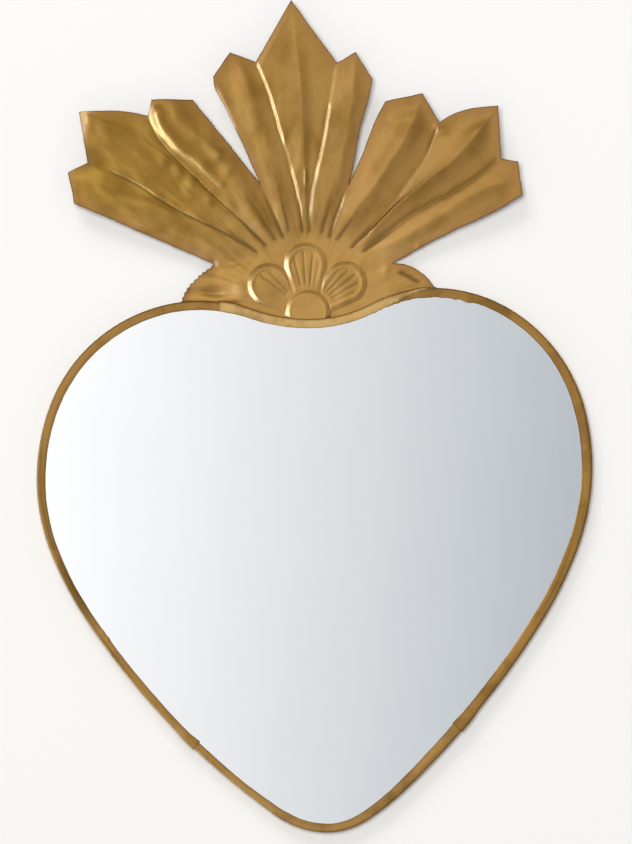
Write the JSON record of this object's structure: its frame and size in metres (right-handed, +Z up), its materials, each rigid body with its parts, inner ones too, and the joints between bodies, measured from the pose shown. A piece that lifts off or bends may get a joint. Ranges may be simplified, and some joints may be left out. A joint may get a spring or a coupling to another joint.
{
  "type": "heart-shaped wall mirror",
  "caption": "Heart-shaped wall mirror in a soldered brass channel rim, with an embossed fan crest over a small shell, hung by a ring that swings in a strap on the tinplate back.",
  "frame": {"origin": "where the top of the hanging ring bears on its wall hook, on the wall plane", "axes": "+Z up, +Y into the wall, so the mirror looks along -Y, and +X to the right as it is looked at"},
  "size_m": [0.305, 0.0172, 0.4575],
  "materials": {
    "aged_brass": "satin, aged",
    "silvered_glass": "polished",
    "hardboard": "matte",
    "tinplate": "satin",
    "soft_solder": "satin"
  },
  "bodies": {
    "mirror": {"back_plate": "tinplate", "backing_board": "hardboard", "crest": "aged_brass", "crest_solder": "soft_solder", "hanger_strap": "aged_brass", "lap_solder": "soft_solder", "mirror_glass": "silvered_glass", "rim_bottom_strip": "aged_brass", "rim_dip_strip": "aged_brass", "rim_left_strip": "aged_brass", "rim_right_strip": "aged_brass", "strap_solder": "soft_solder"},
    "ring": {"hanger_ring": "aged_brass"}
  },
  "joints": [
    {"name": "ring_swing", "type": "hinge", "parent": "mirror", "child": "ring", "pos_m": [0, -0.00156, -0.011], "axis": [-1, 0, 0], "range_deg": [-4, 135]}
  ]
}
